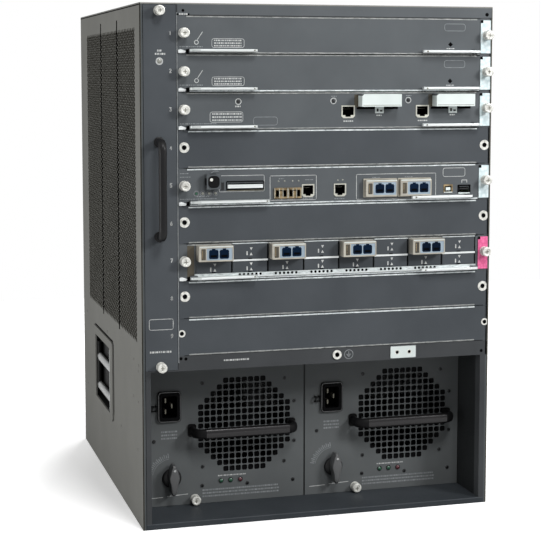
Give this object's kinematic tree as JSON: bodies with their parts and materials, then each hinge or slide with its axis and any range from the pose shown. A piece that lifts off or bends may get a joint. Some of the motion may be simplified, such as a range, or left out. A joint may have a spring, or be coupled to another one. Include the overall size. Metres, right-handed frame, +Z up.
{
  "type": "modular chassis switch",
  "caption": "Rack-width modular network chassis with slide-in cards, a removable fan tray, recessed power supplies and fold-out carry handles.",
  "frame": {"origin": "centre of the chassis footprint, on the floor under the base", "axes": "+Z up; the front with its cards and handles faces -Y; +X is to the right seen from the front"},
  "size_m": [0.4444, 0.487, 0.6223],
  "materials": {
    "case_paint": "satin powder coat, light warm grey",
    "front_paint": "satin powder coat, dark grey",
    "card_front": "satin dark grey with bright spring edges",
    "inner_steel": "zinc plated sheet",
    "board": "green circuit board",
    "black_plastic": "fine matt black",
    "handle_metal": "gloss gunmetal",
    "lever_metal": "clear anodised",
    "supply_front": "satin dark grey",
    "nickel": "bright nickel",
    "module_shell": "bead blasted zinc",
    "pocket_grey": "moulded grey"
  },
  "bodies": {
    "chassis": {"left_side_panel": "case_paint", "right_side_panel": "case_paint", "top_cover": "case_paint", "base_pan": "front_paint", "rear_panel": "case_paint", "front_frame": "front_paint", "power_shelf": "inner_steel", "fan_bay_wall": "inner_steel", "right_guide_wall": "inner_steel", "backplane": "board", "esd_jack": "nickel", "left_handle_pocket": "pocket_grey", "right_handle_pocket": "pocket_grey", "slot_4_filler": "front_paint", "slot_6_filler": "front_paint", "slot_8_filler": "front_paint", "slot_9_filler": "front_paint"},
    "left_handle": {"left_carry_handle": "handle_metal"},
    "right_handle": {"right_carry_handle": "handle_metal"},
    "fan_tray": {"fan_tray_frame": "front_paint", "fan_tray_grip": "handle_metal", "fan_housings": "black_plastic"},
    "fan_1": {"fan_rotor_1": "black_plastic"},
    "fan_2": {"fan_rotor_2": "black_plastic"},
    "fan_3": {"fan_rotor_3": "black_plastic"},
    "fan_4": {"fan_rotor_4": "black_plastic"},
    "fan_5": {"fan_rotor_5": "black_plastic"},
    "fan_6": {"fan_rotor_6": "black_plastic"},
    "fan_7": {"fan_rotor_7": "black_plastic"},
    "fan_8": {"fan_rotor_8": "black_plastic"},
    "fan_9": {"fan_rotor_9": "black_plastic"},
    "psu_left": {"psu_left_faceplate": "supply_front", "psu_left_case": "inner_steel", "psu_left_grip": "handle_metal", "psu_left_inlet": "black_plastic"},
    "psu_left_knob": {"psu_left_switch": "black_plastic"},
    "psu_left_fan": {"psu_left_fan_rotor": "black_plastic"},
    "psu_right": {"psu_right_faceplate": "supply_front", "psu_right_case": "inner_steel", "psu_right_grip": "handle_metal", "psu_right_inlet": "black_plastic"},
    "psu_right_knob": {"psu_right_switch": "black_plastic"},
    "psu_right_fan": {"psu_right_fan_rotor": "black_plastic"},
    "card_1": {"slot_1_card": "card_front"},
    "card_1_left_ejector": {"slot_1_left_ejector": "lever_metal"},
    "card_1_right_ejector": {"slot_1_right_ejector": "lever_metal"},
    "card_2": {"slot_2_card": "card_front"},
    "card_2_left_ejector": {"slot_2_left_ejector": "lever_metal"},
    "card_2_right_ejector": {"slot_2_right_ejector": "lever_metal"},
    "card_3": {"slot_3_card": "card_front"},
    "card_3_left_ejector": {"slot_3_left_ejector": "lever_metal"},
    "card_3_right_ejector": {"slot_3_right_ejector": "lever_metal"},
    "card_5": {"slot_5_card": "card_front", "slot_5_transceivers": "module_shell"},
    "card_5_left_ejector": {"slot_5_left_ejector": "lever_metal"},
    "card_5_right_ejector": {"slot_5_right_ejector": "lever_metal"},
    "card_7": {"slot_7_card": "card_front", "slot_7_transceivers": "module_shell"},
    "card_7_left_ejector": {"slot_7_left_ejector": "lever_metal"},
    "card_7_right_ejector": {"slot_7_right_ejector": "lever_metal"}
  },
  "joints": [
    {"name": "fan_tray_slide", "type": "slide", "parent": "chassis", "child": "fan_tray", "axis": [0, -1, 0], "range_m": [0, 0.42]},
    {"name": "fan_1_spin", "type": "hinge", "parent": "fan_tray", "child": "fan_1", "pos_m": [-0.1976, -0.14, 0.5345], "axis": [1, 0, 0], "continuous": true},
    {"name": "fan_2_spin", "type": "hinge", "parent": "fan_tray", "child": "fan_2", "pos_m": [-0.1976, -0.0135, 0.5345], "axis": [1, 0, 0], "continuous": true},
    {"name": "fan_3_spin", "type": "hinge", "parent": "fan_tray", "child": "fan_3", "pos_m": [-0.1976, 0.113, 0.5345], "axis": [1, 0, 0], "continuous": true},
    {"name": "fan_4_spin", "type": "hinge", "parent": "fan_tray", "child": "fan_4", "pos_m": [-0.1976, -0.14, 0.408], "axis": [1, 0, 0], "continuous": true},
    {"name": "fan_5_spin", "type": "hinge", "parent": "fan_tray", "child": "fan_5", "pos_m": [-0.1976, -0.0135, 0.408], "axis": [1, 0, 0], "continuous": true},
    {"name": "fan_6_spin", "type": "hinge", "parent": "fan_tray", "child": "fan_6", "pos_m": [-0.1976, 0.113, 0.408], "axis": [1, 0, 0], "continuous": true},
    {"name": "fan_7_spin", "type": "hinge", "parent": "fan_tray", "child": "fan_7", "pos_m": [-0.1976, -0.14, 0.2815], "axis": [1, 0, 0], "continuous": true},
    {"name": "fan_8_spin", "type": "hinge", "parent": "fan_tray", "child": "fan_8", "pos_m": [-0.1976, -0.0135, 0.2815], "axis": [1, 0, 0], "continuous": true},
    {"name": "fan_9_spin", "type": "hinge", "parent": "fan_tray", "child": "fan_9", "pos_m": [-0.1976, 0.113, 0.2815], "axis": [1, 0, 0], "continuous": true},
    {"name": "psu_left_slide", "type": "slide", "parent": "chassis", "child": "psu_left", "axis": [0, -1, 0], "range_m": [0, 0.38]},
    {"name": "psu_left_switch_turn", "type": "hinge", "parent": "psu_left", "child": "psu_left_knob", "pos_m": [-0.1716, -0.171, 0.0423], "axis": [0, 1, 0], "range_deg": [0, 90]},
    {"name": "psu_left_fan_spin", "type": "hinge", "parent": "psu_left", "child": "psu_left_fan", "pos_m": [-0.0783, -0.143, 0.1053], "axis": [0, 1, 0], "continuous": true},
    {"name": "psu_right_slide", "type": "slide", "parent": "chassis", "child": "psu_right", "axis": [0, -1, 0], "range_m": [0, 0.38]},
    {"name": "psu_right_switch_turn", "type": "hinge", "parent": "psu_right", "child": "psu_right_knob", "pos_m": [0.0385, -0.171, 0.0423], "axis": [0, 1, 0], "range_deg": [0, 90]},
    {"name": "psu_right_fan_spin", "type": "hinge", "parent": "psu_right", "child": "psu_right_fan", "pos_m": [0.1318, -0.143, 0.1053], "axis": [0, 1, 0], "continuous": true},
    {"name": "card_1_slide", "type": "slide", "parent": "chassis", "child": "card_1", "axis": [0, -1, 0], "range_m": [0, 0.41]},
    {"name": "card_1_left_ejector_turn", "type": "hinge", "parent": "card_1", "child": "card_1_left_ejector", "pos_m": [-0.158, -0.2362, 0.56765], "axis": [0, 0, -1], "range_deg": [0, 60]},
    {"name": "card_1_right_ejector_turn", "type": "hinge", "parent": "card_1", "child": "card_1_right_ejector", "pos_m": [0.1975, -0.2362, 0.56765], "axis": [0, 0, 1], "range_deg": [0, 60]},
    {"name": "card_2_slide", "type": "slide", "parent": "chassis", "child": "card_2", "axis": [0, -1, 0], "range_m": [0, 0.41]},
    {"name": "card_2_left_ejector_turn", "type": "hinge", "parent": "card_2", "child": "card_2_left_ejector", "pos_m": [-0.158, -0.2362, 0.5232], "axis": [0, 0, -1], "range_deg": [0, 60]},
    {"name": "card_2_right_ejector_turn", "type": "hinge", "parent": "card_2", "child": "card_2_right_ejector", "pos_m": [0.1975, -0.2362, 0.5232], "axis": [0, 0, 1], "range_deg": [0, 60]},
    {"name": "card_3_slide", "type": "slide", "parent": "chassis", "child": "card_3", "axis": [0, -1, 0], "range_m": [0, 0.41]},
    {"name": "card_3_left_ejector_turn", "type": "hinge", "parent": "card_3", "child": "card_3_left_ejector", "pos_m": [-0.158, -0.2362, 0.47875], "axis": [0, 0, -1], "range_deg": [0, 60]},
    {"name": "card_3_right_ejector_turn", "type": "hinge", "parent": "card_3", "child": "card_3_right_ejector", "pos_m": [0.1975, -0.2362, 0.47875], "axis": [0, 0, 1], "range_deg": [0, 60]},
    {"name": "card_5_slide", "type": "slide", "parent": "chassis", "child": "card_5", "axis": [0, -1, 0], "range_m": [0, 0.41]},
    {"name": "card_5_left_ejector_turn", "type": "hinge", "parent": "card_5", "child": "card_5_left_ejector", "pos_m": [-0.158, -0.2362, 0.38985], "axis": [0, 0, -1], "range_deg": [0, 60]},
    {"name": "card_5_right_ejector_turn", "type": "hinge", "parent": "card_5", "child": "card_5_right_ejector", "pos_m": [0.1895, -0.2362, 0.38985], "axis": [0, 0, 1], "range_deg": [0, 60]},
    {"name": "card_7_slide", "type": "slide", "parent": "chassis", "child": "card_7", "axis": [0, -1, 0], "range_m": [0, 0.41]},
    {"name": "card_7_left_ejector_turn", "type": "hinge", "parent": "card_7", "child": "card_7_left_ejector", "pos_m": [-0.158, -0.2362, 0.30095], "axis": [0, 0, -1], "range_deg": [0, 60]},
    {"name": "card_7_right_ejector_turn", "type": "hinge", "parent": "card_7", "child": "card_7_right_ejector", "pos_m": [0.1975, -0.2362, 0.30095], "axis": [0, 0, 1], "range_deg": [0, 60]},
    {"name": "left_handle_swing", "type": "hinge", "parent": "chassis", "child": "left_handle", "pos_m": [-0.2168, 0.053, 0.168], "axis": [0, 1, 0], "range_deg": [0, 90]},
    {"name": "right_handle_swing", "type": "hinge", "parent": "chassis", "child": "right_handle", "pos_m": [0.2168, 0.053, 0.168], "axis": [0, -1, 0], "range_deg": [0, 90]}
  ]
}
